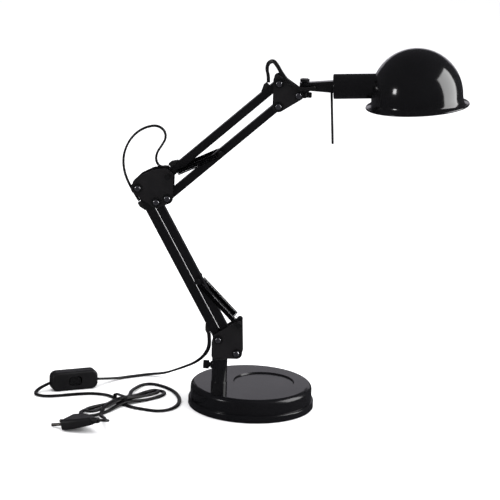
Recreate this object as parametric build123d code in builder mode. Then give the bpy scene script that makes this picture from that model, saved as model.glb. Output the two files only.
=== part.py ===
from build123d import *
import math
import os

# A swing arm desk lamp. +X points from the post towards the lamp head, +Z is up, and the
# origin is the centre of the base's underside. The arm swings in the plane Y = ARM_Y.

# ---- driving dimensions, in millimetres and degrees ----
ARM_Y = -51.3
FIT = 0.05

BASE_RING_R = 80.0
BASE_RING_H = 9.5
BASE_SHELL_R = 77.5
BASE_H = 29.0
BASE_ROUNDING = 6.0
SHEET = 1.2
RECESS_AT = (15.5, 6.0)
RECESS_R = 39.0
RECESS_DEPTH = 2.4
PAD_R = 76.0
PAD_T = 2.0
BALLAST_R = 73.0
BALLAST_T = 11.0

POST_X = -38.0
POST_R = 9.7
POST_BORE_R = 8.2
POST_TOP = 75.4
POST_STUD_R = 4.0
POST_NUT_R = 7.5
THUMB_BOSS_R = 4.6
COLLAR_R = 10.3
COLLAR_TOP = 45.0
PIN_R = 6.0
PIN_BOTTOM = 40.0
THUMB_Z = 66.0
THUMB_KNOB_R = 5.5
THUMB_KNOB_X = (-58.5, -51.4)
THUMB_STUD_R = 2.0

TUBE_SIDE = 10.0
TUBE_WALL = 0.8
PLATE_OUT = 10.25
PLATE_T = 1.5
WASHER_R = 5.6
WASHER_T = 1.0
BOLT_R = 2.0
BOLT_HEAD_R = 3.7
BOLT_HEAD_T = 2.8
BOLT_HEAD_ROUNDING = 1.3
BOLT_END = 0.6
RECESS_SPAN = 4.0
RECESS_SLOT = 1.1
RECESS_DEPTH = 1.7
RECESS_TURN = 34.0
NUT_FLATS = 7.0
NUT_T = 3.2

BRACKET_BOTTOM = 77.2
BRACKET_TOP = 127.0
BRACKET_WEB_X = -26.0

LOWER_LEN = 217.0
LOWER_ANGLE = 119.1
LOWER_COUPLER = (23.3, -16.5)
LOWER_A = (-40.25, 101.8)
UPPER_LEN = 180.3
UPPER_ANGLE = 42.6
UPPER_COUPLER = (0.0, 28.2)
UPPER_E = (-109.0, 280.0)

SPRING_Y = 13.9
SPRING_R = 3.25
SPRING_WIRE_R = 0.45
CROSS_PIN_R = 2.0
CROSS_PIN_REACH = 16.2
PIN_HEAD_R = 3.6
PIN_HEAD_T = 1.2
BRACKET_PIN = (-15.2, 123.4)
LOWER_PIN_S = 105.0
UPPER_PIN_S = 89.0

TILT = (47.8, 416.6)
PAN_X = 54.2
PAN_BOLT_R = 2.4
WING_HUB_R = 3.4
WING_REACH = 9.2
NECK_BOTTOM = 422.0
NECK_EYE_TOP = 431.4
NECK_R = 6.2

SOCKET_START = (89.6, 428.0)
SOCKET_ANGLE = 3.4
SOCKET_R = 15.25
SOCKET_LEN = 52.4
LAMPHOLDER_R = 13.2
LAMPHOLDER_LEN = 60.0
LAMP_THREAD_R = 7.0
LAMP_THREAD_LEN = 20.0

SHADE_CENTRE = (192.35, 408.35)
SHADE_TILT = 5.08
SHADE_R = 56.0
SHADE_HEIGHT = 71.0
SHADE_FLANGE_R = 62.5
SHADE_T = 0.9
SHADE_BEAD_R = 1.3

ROD_R = 1.5
ROD_TOP = (87.0, 425.0)
ROD_BOTTOM = (91.4, 356.4)

CORD_R = 2.0
GROMMET_RISE = 5.2
GROMMET_LEN = 12.0
GROMMET_W = 7.0
LOWER_GROMMETS = (12.0, 199.0)
UPPER_GROMMETS = (9.0, 168.0)

SWITCH_AT = (-231.5, 22.0)
SWITCH_YAW = 26.0
SWITCH_L = 62.0
SWITCH_W = 25.0
SWITCH_H = 15.0
SWITCH_SPLIT = 7.0
ROCKER_L = 17.0
ROCKER_W = 11.0
ROCKER_TILT = 7.0
ROCKER_CORNER = 4.5
ROCKER_GAP = 0.6
ROCKER_SWING = 1.6
ROCKER_PIVOT = 3.6
ROCKER_RISE = 5.4
ROCKER_DISH = 4.2
ROCKER_TAPER = 1.6
SWITCH_LIFT = 0.2
SWITCH_CORNER = 8.0
TRUNNION = 0.5
TRUNNION_R = 1.5

HANK_ENDS = ((-197.0, -75.0), (-124.0, 16.0))
HANK_TIE = (-164.5, -31.0)
HANK_END_R = 15.0
HANK_WAIST_R = 7.5
HANK_BOTTOM = 0.9
HANK_H = 11.0
TIE_T = 0.8
TIE_W = 6.0

PLUG_FACE = (-217.0, -131.0, 7.1)
PLUG_YAW = 155.0
PLUG_DIP = 14.0
PLUG_L = 36.0
PLUG_W = 35.0
PLUG_H = 13.4
PLUG_RELIEF_L = 8.0
PLUG_PIN_R = 2.0
PLUG_PIN_L = 19.0
PLUG_PIN_PITCH = 18.4

# ---- the cord's route outside the tubes, point by point: x, y, z ----
ROUTE_DROP = [
    (-52.9, -51.3, 107.6),
    (-51.8, -51.2, 98.5),
    (-52.2, -49.0, 88.0),
    (-56.5, -40.5, 77.0),
    (-64.0, -24.0, 64.5),
    (-74.5, 3.0, 49.5),
    (-89.0, 36.0, 33.5),
    (-105.5, 68.0, 17.5),
    (-120.0, 89.0, 6.0),
    (-141.0, 94.0, 2.0),
    (-163.0, 80.5, 2.0),
    (-184.0, 66.0, 2.2),
    (-202.5, 36.3, 10.5),
]
ROUTE_ELBOW = [
    (-144.4, -51.3, 273.2),
    (-151.0, -51.3, 283.5),
    (-159.0, -51.3, 296.5),
    (-164.6, -51.3, 312.0),
    (-165.6, -51.3, 329.0),
    (-160.5, -51.3, 345.5),
    (-150.5, -51.3, 359.0),
    (-137.5, -51.3, 367.0),
    (-124.5, -51.3, 369.5),
    (-115.0, -51.3, 363.5),
    (-113.2, -51.3, 353.5),
    (-118.5, -51.3, 344.0),
    (-124.5, -51.3, 334.5),
    (-125.0, -51.3, 323.5),
    (-118.0, -51.3, 316.0),
    (-108.8, -51.3, 318.4),
]
ROUTE_HEAD = [
    (9.9, -51.8, 429.6),
    (9.8, -52.3, 437.5),
    (7.4, -54.5, 446.0),
    (9.0, -58.0, 454.5),
    (15.5, -61.5, 458.5),
    (21.0, -64.0, 452.5),
    (25.8, -65.0, 444.5),
    (32.5, -65.0, 435.8),
    (41.0, -65.0, 428.6),
    (51.0, -64.8, 425.0),
    (60.5, -63.2, 425.3),
    (67.8, -60.4, 427.2),
]
ROUTE_FLOOR = [
    (-260.4, 8.0, 10.5),
    (-268.5, 3.5, 7.5),
    (-276.5, -4.5, 3.0),
    (-275.0, -16.5, 2.0),
    (-262.0, -20.5, 2.0),
    (-245.0, -15.0, 2.0),
    (-226.0, -5.5, 2.0),
    (-206.0, 1.5, 2.0),
    (-189.0, 0.5, 2.0),
    (-177.5, -7.0, 3.5),
    (-172.0, -16.5, 5.0),
]
ROUTE_LOOP = [
    (-155.5, -38.5, 5.0),
    (-145.5, -45.0, 3.5),
    (-131.0, -51.5, 2.0),
    (-114.0, -56.0, 2.0),
    (-99.5, -47.5, 2.0),
    (-91.5, -30.0, 2.0),
    (-90.0, -9.0, 2.0),
    (-94.5, 12.0, 2.0),
    (-103.5, 31.5, 2.0),
    (-117.0, 46.5, 2.0),
    (-133.5, 53.5, 2.0),
    (-146.5, 46.0, 2.5),
    (-151.0, 29.0, 3.5),
    (-153.5, 12.0, 5.0),
    (-157.4, -1.5, 6.0),
]
ROUTE_TAIL = [
    (-186.5, -91.5, 6.0),
    (-180.5, -96.0, 5.5),
    (-176.0, -104.5, 6.0),
    (-174.5, -114.5, 8.0),
    (-172.8, -125.0, 10.5),
    (-169.8, -134.5, 13.3),
    (-167.0, -143.5, 16.2),
    (-167.8, -150.2, 18.2),
    (-172.0, -152.4, 18.9),
    (-177.2, -149.5, 18.0),
]


def along(start, angle, s, n=0.0):
    """The point s along a direction from a start, and n to its left, in the arm's plane."""
    c = math.cos(math.radians(angle))
    d = math.sin(math.radians(angle))
    return (start[0] + s * c - n * d, start[1] + s * d + n * c)


LOWER_B = (LOWER_A[0] + LOWER_COUPLER[0], LOWER_A[1] + LOWER_COUPLER[1])
LOWER_C = along(LOWER_A, LOWER_ANGLE, LOWER_LEN)
LOWER_D = along(LOWER_B, LOWER_ANGLE, LOWER_LEN)
UPPER_F = (UPPER_E[0] + UPPER_COUPLER[0], UPPER_E[1] + UPPER_COUPLER[1])
UPPER_G = along(UPPER_E, UPPER_ANGLE, UPPER_LEN)
UPPER_H = along(UPPER_F, UPPER_ANGLE, UPPER_LEN)
LOWER_PIN = along(LOWER_B, LOWER_ANGLE, LOWER_PIN_S)
UPPER_PIN = along(UPPER_E, UPPER_ANGLE, UPPER_PIN_S)
WASHER_FACE = PLATE_OUT + WASHER_T
PLATE_IN = PLATE_OUT - PLATE_T


def side(y=0.0, start=(0.0, 0.0), angle=0.0):
    """An upright plane y behind the arm's plane: local x runs at an angle, and it faces the front."""
    c = math.cos(math.radians(angle))
    d = math.sin(math.radians(angle))
    return Plane(origin=(start[0], ARM_Y + y, start[1]), x_dir=(c, 0, d), z_dir=(0, -1, 0))


def save(part, name):
    part.label = name
    export_step(part, f"parts/{name}.step")


os.makedirs("parts", exist_ok=True)

# ================= base =================
with BuildPart() as base_shell:
    with BuildSketch(Plane.XZ) as shell_profile:
        with BuildLine():
            Polyline((0, BASE_H), (BASE_SHELL_R - BASE_ROUNDING, BASE_H))
            ThreePointArc(
                (BASE_SHELL_R - BASE_ROUNDING, BASE_H),
                (BASE_SHELL_R - BASE_ROUNDING * 0.293, BASE_H - BASE_ROUNDING * 0.293),
                (BASE_SHELL_R, BASE_H - BASE_ROUNDING),
            )
            Polyline((BASE_SHELL_R, BASE_H - BASE_ROUNDING), (BASE_SHELL_R, PAD_T))
            Polyline((BASE_SHELL_R, PAD_T), (BASE_SHELL_R - SHEET, PAD_T))
            Polyline((BASE_SHELL_R - SHEET, PAD_T), (BASE_SHELL_R - SHEET, BASE_H - BASE_ROUNDING))
            ThreePointArc(
                (BASE_SHELL_R - SHEET, BASE_H - BASE_ROUNDING),
                (
                    BASE_SHELL_R - BASE_ROUNDING * 0.293 - SHEET * 0.707,
                    BASE_H - BASE_ROUNDING * 0.293 - SHEET * 0.707,
                ),
                (BASE_SHELL_R - BASE_ROUNDING, BASE_H - SHEET),
            )
            Polyline((BASE_SHELL_R - BASE_ROUNDING, BASE_H - SHEET), (0, BASE_H - SHEET), (0, BASE_H))
        make_face()
    revolve(axis=Axis.Z)
    with BuildSketch(Plane.XY.offset(BASE_H)):
        with Locations(RECESS_AT):
            Circle(RECESS_R + SHEET)
    extrude(amount=-RECESS_DEPTH - SHEET, taper=40)
    with BuildSketch(Plane.XY.offset(BASE_H)):
        with Locations(RECESS_AT):
            Circle(RECESS_R)
    extrude(amount=-RECESS_DEPTH, taper=40, mode=Mode.SUBTRACT)
    with BuildSketch(Plane.XY.offset(BASE_H + 1)):
        with Locations((POST_X, ARM_Y)):
            Circle(POST_STUD_R + FIT)
    extrude(amount=-SHEET * 3, mode=Mode.SUBTRACT)
save(base_shell.part, "base_shell")

with BuildPart() as base_ring:
    with BuildSketch(Plane.XY.offset(0.6)):
        Circle(BASE_RING_R)
        Circle(BASE_SHELL_R + FIT, mode=Mode.SUBTRACT)
    extrude(amount=BASE_RING_H - 0.6)
    fillet(base_ring.edges().filter_by(GeomType.CIRCLE).group_by(Axis.Z)[-1].sort_by(SortBy.RADIUS)[-1], 1.6)
save(base_ring.part, "base_ring")

with BuildPart() as base_pad:
    Cylinder(PAD_R, PAD_T, align=(Align.CENTER, Align.CENTER, Align.MIN))
save(base_pad.part, "base_pad")

with BuildPart() as base_ballast:
    Cylinder(BALLAST_R, PAD_T + BALLAST_T, align=(Align.CENTER, Align.CENTER, Align.MIN))
    Cylinder(BALLAST_R, PAD_T, align=(Align.CENTER, Align.CENTER, Align.MIN), mode=Mode.SUBTRACT)
save(base_ballast.part, "base_ballast")

# ================= post =================
POST_NUT_TOP = BASE_H - SHEET
with BuildPart() as post_tube:
    with BuildSketch(Plane.XY.offset(BASE_H)):
        with Locations((POST_X, ARM_Y)):
            Circle(POST_R)
    extrude(amount=POST_TOP - BASE_H)
    with BuildSketch(Plane.YZ.offset(POST_X - POST_R - 1.6)):
        with Locations((ARM_Y, THUMB_Z)):
            Circle(THUMB_BOSS_R)
    extrude(amount=4.0)
    with BuildSketch(Plane.XY.offset(PIN_BOTTOM - 1)):
        with Locations((POST_X, ARM_Y)):
            Circle(POST_BORE_R)
    extrude(amount=POST_TOP - PIN_BOTTOM + 1, mode=Mode.SUBTRACT)
    with BuildSketch(Plane.XY.offset(POST_NUT_TOP - 8)):
        with Locations((POST_X, ARM_Y)):
            Circle(POST_STUD_R)
    extrude(amount=BASE_H - POST_NUT_TOP + 9)
    with BuildSketch(Plane.YZ.offset(POST_X - POST_R - 2)):
        with Locations((ARM_Y, THUMB_Z)):
            Circle(THUMB_STUD_R + FIT)
    extrude(amount=POST_R, mode=Mode.SUBTRACT)
save(post_tube.part, "post_tube")

with BuildPart() as post_collar:
    with BuildSketch(Plane.XY.offset(BASE_H)):
        with Locations((POST_X, ARM_Y)):
            Circle(COLLAR_R)
            Circle(POST_R + FIT, mode=Mode.SUBTRACT)
    extrude(amount=COLLAR_TOP - BASE_H)
    fillet(post_collar.edges().group_by(Axis.Z)[-1].sort_by(SortBy.RADIUS)[-1], 0.4)
save(post_collar.part, "post_collar")

with BuildPart() as post_nut:
    with BuildSketch(Plane.XY.offset(POST_NUT_TOP)):
        with Locations((POST_X, ARM_Y)):
            RegularPolygon(radius=POST_NUT_R, side_count=6)
            Circle(POST_STUD_R + FIT, mode=Mode.SUBTRACT)
    extrude(amount=-6.5)
save(post_nut.part, "post_nut")

with BuildPart() as pivot_bush:
    with BuildSketch(Plane.XY.offset(PIN_BOTTOM)):
        with Locations((POST_X, ARM_Y)):
            Circle(POST_BORE_R - FIT)
    extrude(amount=POST_TOP - PIN_BOTTOM)
    with BuildSketch(Plane.XY.offset(POST_TOP)):
        with Locations((POST_X, ARM_Y)):
            Circle(POST_R)
    extrude(amount=1.4)
    with BuildSketch(Plane.XY.offset(PIN_BOTTOM)):
        with Locations((POST_X, ARM_Y)):
            Circle(PIN_R + FIT)
    extrude(amount=POST_TOP - PIN_BOTTOM + 2, mode=Mode.SUBTRACT)
    with BuildSketch(Plane.YZ.offset(POST_X - POST_R - 1)):
        with Locations((ARM_Y, THUMB_Z)):
            Circle(THUMB_STUD_R + FIT)
    extrude(amount=POST_R, mode=Mode.SUBTRACT)
save(pivot_bush.part, "pivot_bush")

with BuildPart() as thumb_screw:
    with BuildSketch(Plane.YZ.offset(THUMB_KNOB_X[0])):
        with Locations((ARM_Y, THUMB_Z)):
            Circle(THUMB_KNOB_R)
            with PolarLocations(THUMB_KNOB_R + 0.5, 10):
                Circle(1.0, mode=Mode.SUBTRACT)
    extrude(amount=THUMB_KNOB_X[1] - THUMB_KNOB_X[0])
    with BuildSketch(Plane.YZ.offset(THUMB_KNOB_X[1])):
        with Locations((ARM_Y, THUMB_Z)):
            Circle(THUMB_STUD_R + 1.2)
    extrude(amount=1.6)
    with BuildSketch(Plane.YZ.offset(THUMB_KNOB_X[1])):
        with Locations((ARM_Y, THUMB_Z)):
            Circle(THUMB_STUD_R)
    extrude(amount=POST_X - PIN_R - 0.3 - THUMB_KNOB_X[1])
save(thumb_screw.part, "thumb_screw")

# ================= turret: lower bracket and its pivot pin =================
BRACKET_LOBES = [(LOWER_A, 8.2), (LOWER_B, 7.3), (BRACKET_PIN, 3.8), ((-45.2, 80.6), 3.2)]
BRACKET_LEFT = POST_X - PLATE_OUT - 0.25
with BuildPart() as lower_bracket:
    for inset, mode in ((0.0, Mode.ADD), (PLATE_T, Mode.SUBTRACT)):
        with BuildSketch(Plane.XY.offset(BRACKET_BOTTOM)) as plan:
            with Locations((BRACKET_LEFT + inset, ARM_Y)):
                Rectangle(50, 2 * (PLATE_OUT - inset), align=(Align.MIN, Align.CENTER))
            fillet(plan.vertices().group_by(Axis.X)[0], 4.5 - inset)
        extrude(amount=BRACKET_TOP - BRACKET_BOTTOM, mode=mode)
    with BuildSketch(Plane.XY.offset(BRACKET_BOTTOM)):
        with Locations((BRACKET_LEFT + PLATE_T / 2, ARM_Y)):
            Rectangle(BRACKET_WEB_X - BRACKET_LEFT, 2 * PLATE_IN + PLATE_T, align=(Align.MIN, Align.CENTER))
    extrude(amount=2.0)
    with BuildSketch(side()):
        for centre, radius in BRACKET_LOBES:
            with Locations(centre):
                Circle(radius)
        make_hull()
    extrude(amount=PLATE_OUT + 1, both=True, mode=Mode.INTERSECT)
    with BuildSketch(side()):
        with Locations((POST_X - 12, 108)):
            Rectangle(10, 20)
    extrude(amount=PLATE_IN, both=True, mode=Mode.SUBTRACT)
    with BuildSketch(side()):
        with Locations(LOWER_A, LOWER_B):
            Circle(BOLT_R + FIT)
        with Locations(BRACKET_PIN):
            Circle(CROSS_PIN_R + FIT)
    extrude(amount=PLATE_OUT + 1, both=True, mode=Mode.SUBTRACT)
    with BuildSketch(Plane.XY.offset(BRACKET_BOTTOM - 1)):
        with Locations((POST_X, ARM_Y)):
            Circle(4 + FIT)
    extrude(amount=4, mode=Mode.SUBTRACT)
save(lower_bracket.part, "lower_bracket")

with BuildPart() as pivot_pin:
    with BuildSketch(Plane.XY.offset(PIN_BOTTOM)):
        with Locations((POST_X, ARM_Y)):
            Circle(PIN_R)
    extrude(amount=BRACKET_BOTTOM - PIN_BOTTOM)
    with BuildSketch(Plane.XY.offset(BRACKET_BOTTOM)):
        with Locations((POST_X, ARM_Y)):
            Circle(4)
    extrude(amount=2.0)
    with BuildSketch(Plane.XY.offset(BRACKET_BOTTOM + 2.0)):
        with Locations((POST_X, ARM_Y)):
            Circle(5.6)
    extrude(amount=1.8)
save(pivot_pin.part, "pivot_pin")


# ================= fasteners that repeat at every set of plates =================
def bolt_set(name, centres):
    """Pan head screws through both plates, with a cross recess in each head, heads at the front."""
    with BuildPart() as group:
        with BuildSketch(side(-WASHER_FACE)):
            with Locations(*centres):
                Circle(BOLT_HEAD_R)
        extrude(amount=BOLT_HEAD_T)
        fillet(group.edges().group_by(Axis.Y)[0], BOLT_HEAD_ROUNDING)
        for i, centre in enumerate(centres):
            with BuildSketch(side(-WASHER_FACE - BOLT_HEAD_T)):
                with Locations(Location(centre, RECESS_TURN * i)):
                    Rectangle(RECESS_SPAN, RECESS_SLOT)
                    Rectangle(RECESS_SLOT, RECESS_SPAN)
            extrude(amount=-RECESS_DEPTH, mode=Mode.SUBTRACT)
        with BuildSketch(side(-WASHER_FACE)):
            with Locations(*centres):
                Circle(BOLT_R)
        extrude(amount=-2 * WASHER_FACE - NUT_T - BOLT_END)
    save(group.part, name)


def nut_set(name, centres):
    """Nuts on the back ends of the bolts."""
    with BuildPart() as group:
        with BuildSketch(side(WASHER_FACE)):
            with Locations(*centres):
                RegularPolygon(radius=NUT_FLATS / 2, side_count=6, major_radius=False)
            with Locations(*centres):
                Circle(BOLT_R + FIT, mode=Mode.SUBTRACT)
        extrude(amount=-NUT_T)
    save(group.part, name)


def washer_set(name, centres, spaced, radius=WASHER_R):
    """Black washers outside both plates, and the spacer washers that centre a tube between them."""
    with BuildPart() as group:
        for y in (-PLATE_OUT, PLATE_OUT + WASHER_T):
            with BuildSketch(side(y)):
                for centre in centres:
                    with Locations(centre):
                        Circle(radius if centre != TILT else WASHER_R - 1)
                        Circle(BOLT_R + FIT, mode=Mode.SUBTRACT)
            extrude(amount=WASHER_T)
        for y in (-TUBE_SIDE / 2 - FIT, PLATE_IN):
            with BuildSketch(side(y)):
                for centre in spaced:
                    with Locations(centre):
                        Circle(4.1)
                        Circle(BOLT_R + FIT, mode=Mode.SUBTRACT)
            extrude(amount=PLATE_IN - TUBE_SIDE / 2 - FIT)
    save(group.part, name)


def cross_pin(name, centre, reach=CROSS_PIN_REACH):
    """A headed pin through both sides, with a spring hook inside each head."""
    with BuildPart() as pin:
        with BuildSketch(side(-reach)):
            with Locations(centre):
                Circle(CROSS_PIN_R)
        extrude(amount=-2 * reach)
        for y in (-reach + PIN_HEAD_T, reach):
            with BuildSketch(side(y)):
                with Locations(centre):
                    Circle(PIN_HEAD_R)
            extrude(amount=PIN_HEAD_T)
    save(pin.part, name)


def spring_studs(name, centre, reach=CROSS_PIN_REACH):
    """A headed stud riveted into each plate, so that an arm can swing between them."""
    with BuildPart() as pair:
        for y in (-PLATE_IN, reach):
            with BuildSketch(side(y)):
                with Locations(centre):
                    Circle(CROSS_PIN_R)
            extrude(amount=reach - PLATE_IN)
        for y in (-reach + PIN_HEAD_T, reach):
            with BuildSketch(side(y)):
                with Locations(centre):
                    Circle(PIN_HEAD_R)
            extrude(amount=PIN_HEAD_T)
    save(pair.part, name)


def square_tube(name, start, angle, length, slots=(), pin_s=None):
    """A square arm tube with round-cut ends, bolt holes, cord slots and a hole for its spring pin."""
    with BuildPart() as tube:
        with BuildSketch(side(0, start, angle)):
            with Locations((length / 2, 0)):
                SlotCenterToCenter(length, TUBE_SIDE)
        extrude(amount=TUBE_SIDE / 2, both=True)
        with BuildSketch(side(0, start, angle)):
            with Locations((length / 2, 0)):
                Rectangle(length + 3 * TUBE_SIDE, TUBE_SIDE - 2 * TUBE_WALL)
        extrude(amount=TUBE_SIDE / 2 - TUBE_WALL, both=True, mode=Mode.SUBTRACT)
        with BuildSketch(side(0, start, angle)):
            with Locations((0, 0), (length, 0)):
                Circle(BOLT_R + FIT)
            if pin_s:
                with Locations((pin_s, 0)):
                    Circle(CROSS_PIN_R + FIT)
        extrude(amount=TUBE_SIDE, both=True, mode=Mode.SUBTRACT)
        if slots:
            with BuildSketch(side(0, start, angle)):
                for s in slots:
                    with Locations((s, TUBE_SIDE / 2)):
                        Rectangle(GROMMET_LEN - 5, 4 * TUBE_WALL)
            extrude(amount=GROMMET_W / 2 - 1, both=True, mode=Mode.SUBTRACT)
    save(tube.part, name)


def grommet_slots(faces):
    """Middles of the slots behind two grommets, from the places of their cord ends."""
    return (faces[0] + GROMMET_LEN / 2, faces[1] - GROMMET_LEN / 2)


def grommets(name, start, angle, faces):
    """Two moulded wedges in the slots of a tube. The cord leaves each by its tall end face."""
    with BuildPart() as pair:
        for face, towards in ((faces[0], 1), (faces[1], -1)):
            low = TUBE_SIDE / 2 + 0.02
            with BuildSketch(side(0, start, angle)):
                with BuildLine():
                    Polyline(
                        (face, low),
                        (face, low + GROMMET_RISE),
                        (face + towards * GROMMET_LEN * 0.4, low + GROMMET_RISE),
                        (face + towards * GROMMET_LEN, low + 1.2),
                        (face + towards * GROMMET_LEN, low),
                        close=True,
                    )
                make_face()
            extrude(amount=GROMMET_W / 2, both=True)
            with BuildSketch(side(0, start, angle)):
                with Locations((face + towards * GROMMET_LEN / 2, low - TUBE_WALL / 2)):
                    Rectangle(GROMMET_LEN - 5.1, TUBE_WALL + 0.04)
            extrude(amount=GROMMET_W / 2 - 1.05, both=True)
    save(pair.part, name)


def inner_cord(name, start, angle, slots):
    """The straight run of cord inside a tube, between its two slots."""
    with BuildPart() as run:
        with BuildSketch(Plane(origin=(*place3(along(start, angle, slots[0])),), z_dir=heading(angle))):
            Circle(CORD_R)
        extrude(amount=slots[1] - slots[0])
    save(run.part, name)


def place3(p, y=0.0):
    return (p[0], ARM_Y + y, p[1])


def heading(angle):
    return (math.cos(math.radians(angle)), 0, math.sin(math.radians(angle)))


def springs(name, from_pin, to_pin, long_hook):
    """A pair of tension springs, as the outer shape of their coils, with straight wire hooks."""
    dx = to_pin[0] - from_pin[0]
    dz = to_pin[1] - from_pin[1]
    span = math.hypot(dx, dz)
    direction = (dx / span, 0, dz / span)
    with BuildPart() as pair:
        for y in (-SPRING_Y, SPRING_Y):
            origin = Vector(*place3(from_pin, y))
            coil = Plane(origin=origin + Vector(*direction) * 6.0, z_dir=direction)
            hook = Plane(origin=origin + Vector(*direction) * (CROSS_PIN_R + 0.3), z_dir=direction)
            with BuildSketch(coil):
                Circle(SPRING_R)
            extrude(amount=span - 6.0 - long_hook)
            with BuildSketch(hook):
                Circle(SPRING_WIRE_R)
            extrude(amount=span - 2 * CROSS_PIN_R - 0.6)
    save(pair.part, name)


# ================= lower arm =================
bolt_set("lower_bolts", [LOWER_A, LOWER_B])
nut_set("lower_nuts", [LOWER_A, LOWER_B])
washer_set("lower_washers", [LOWER_A, LOWER_B], [LOWER_A, LOWER_B])
spring_studs("bracket_spring_pin", BRACKET_PIN)
LOWER_SLOTS = grommet_slots(LOWER_GROMMETS)
square_tube("lower_tube_left", LOWER_A, LOWER_ANGLE, LOWER_LEN, slots=LOWER_SLOTS)
square_tube("lower_tube_right", LOWER_B, LOWER_ANGLE, LOWER_LEN, pin_s=LOWER_PIN_S)
grommets("lower_grommets", LOWER_A, LOWER_ANGLE, LOWER_GROMMETS)
cross_pin("lower_spring_pin", LOWER_PIN)
springs("lower_springs", LOWER_PIN, BRACKET_PIN, 8.0)

# ================= elbow =================
ELBOW_LOBES = [
    (LOWER_C, 8.6),
    (LOWER_D, 7.6),
    (UPPER_E, 7.0),
    (UPPER_F, 7.0),
    ((-113.5, 309.5), 8.0),
    ((-124.5, 304.2), 11.0),
    ((-137.0, 299.8), 9.0),
]
with BuildPart() as elbow_plates:
    for y in (-PLATE_IN, PLATE_OUT):
        with BuildSketch(side(y)):
            for centre, radius in ELBOW_LOBES:
                with Locations(centre):
                    Circle(radius)
            make_hull()
            with Locations(LOWER_C, LOWER_D, UPPER_E, UPPER_F):
                Circle(BOLT_R + FIT, mode=Mode.SUBTRACT)
        extrude(amount=PLATE_T)
save(elbow_plates.part, "elbow_plates")

bolt_set("elbow_bolts", [LOWER_C, LOWER_D, UPPER_E])
nut_set("elbow_nuts", [LOWER_C, LOWER_D, UPPER_E])
washer_set("elbow_washers", [LOWER_C, LOWER_D, UPPER_E], [LOWER_C, LOWER_D, UPPER_E, UPPER_F])
cross_pin("elbow_rivet", UPPER_F)

# ================= upper arm =================
UPPER_SLOTS = grommet_slots(UPPER_GROMMETS)
square_tube("upper_tube_low", UPPER_E, UPPER_ANGLE, UPPER_LEN, pin_s=UPPER_PIN_S)
square_tube("upper_tube_top", UPPER_F, UPPER_ANGLE, UPPER_LEN, slots=UPPER_SLOTS)
grommets("upper_grommets", UPPER_F, UPPER_ANGLE, UPPER_GROMMETS)
cross_pin("upper_spring_pin", UPPER_PIN)
springs("upper_springs", UPPER_PIN, UPPER_F, 14.0)

# ================= head bracket =================
HEAD_LOBES = [(UPPER_H, 7.2), (UPPER_G, 7.2), (TILT, 6.0), ((21.9, 434.4), 5.6)]
with BuildPart() as head_plates:
    for y in (-PLATE_IN, PLATE_OUT):
        with BuildSketch(side(y)):
            for centre, radius in HEAD_LOBES:
                with Locations(centre):
                    Circle(radius)
            make_hull()
            with Locations(UPPER_G, UPPER_H, TILT):
                Circle(BOLT_R + FIT, mode=Mode.SUBTRACT)
        extrude(amount=PLATE_T)
save(head_plates.part, "head_plates")

bolt_set("head_bolts", [UPPER_G, UPPER_H, TILT])
nut_set("head_nuts", [UPPER_G, UPPER_H, TILT])
washer_set("head_washers", [UPPER_G, UPPER_H, TILT], [UPPER_G, UPPER_H])

# ================= knuckle: tilts on the plates and carries the pan bolt =================
KNUCKLE_Y = PLATE_IN - 0.3
EAR_T = 1.8
WEB_TOP = NECK_BOTTOM - 0.3
WEB_T = 2.0
WEB_X = (TILT[0] - 4.2, PAN_X + 5.6)
with BuildPart() as knuckle:
    with BuildSketch(side(KNUCKLE_Y)):
        with Locations(TILT):
            Circle(4.2)
        with Locations((TILT[0], (TILT[1] + WEB_TOP) / 2)):
            Rectangle(8.4, WEB_TOP - TILT[1])
    extrude(amount=2 * KNUCKLE_Y)
    with BuildSketch(side(KNUCKLE_Y - EAR_T)):
        with Locations((TILT[0], WEB_TOP - WEB_T - 10)):
            Rectangle(20, 20)
    extrude(amount=2 * (KNUCKLE_Y - EAR_T), mode=Mode.SUBTRACT)
    with BuildSketch(Plane.XY.offset(WEB_TOP - WEB_T)):
        with Locations(((WEB_X[0] + WEB_X[1]) / 2, ARM_Y)):
            RectangleRounded(WEB_X[1] - WEB_X[0], 2 * KNUCKLE_Y - 2, 3.5)
    extrude(amount=WEB_T)
    with BuildSketch(side(PLATE_OUT)):
        with Locations(TILT):
            Circle(BOLT_R + FIT)
    extrude(amount=2 * PLATE_OUT, mode=Mode.SUBTRACT)
    with BuildSketch(Plane.XY.offset(WEB_TOP - 2 * WEB_T)):
        with Locations((PAN_X, ARM_Y)):
            Circle(PAN_BOLT_R + FIT)
    extrude(amount=3 * WEB_T, mode=Mode.SUBTRACT)
save(knuckle.part, "knuckle")

WING_TOP = WEB_TOP - WEB_T - 0.3
WING_H = 6.6
PAN_HEAD_Z = NECK_EYE_TOP + 0.9
with BuildPart() as wing_nut:
    with BuildSketch(Plane.XY.offset(WING_TOP - WING_H)):
        with Locations((PAN_X, ARM_Y)):
            Circle(WING_HUB_R)
        with Locations((PAN_X, ARM_Y)):
            Rectangle(WING_REACH, 2.6, align=(Align.MIN, Align.CENTER))
    extrude(amount=WING_H)
    fillet(wing_nut.edges().filter_by(Axis.Y).group_by(Axis.X)[-1], 1.5)
    with BuildSketch(Plane.XY.offset(WING_TOP - 2 * WING_H)):
        with Locations((PAN_X, ARM_Y)):
            Circle(PAN_BOLT_R + FIT)
    extrude(amount=3 * WING_H, mode=Mode.SUBTRACT)
save(wing_nut.part, "wing_nut")

with BuildPart() as pan_bolt:
    with BuildSketch(Plane.XY.offset(PAN_HEAD_Z)):
        with Locations((PAN_X, ARM_Y)):
            RegularPolygon(radius=5, side_count=6, major_radius=False)
    extrude(amount=3.4)
    with BuildSketch(Plane.XY.offset(WING_TOP - WING_H - 0.8)):
        with Locations((PAN_X, ARM_Y)):
            Circle(PAN_BOLT_R)
    extrude(amount=PAN_HEAD_Z - WING_TOP + WING_H + 0.8)
save(pan_bolt.part, "pan_bolt")

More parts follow.
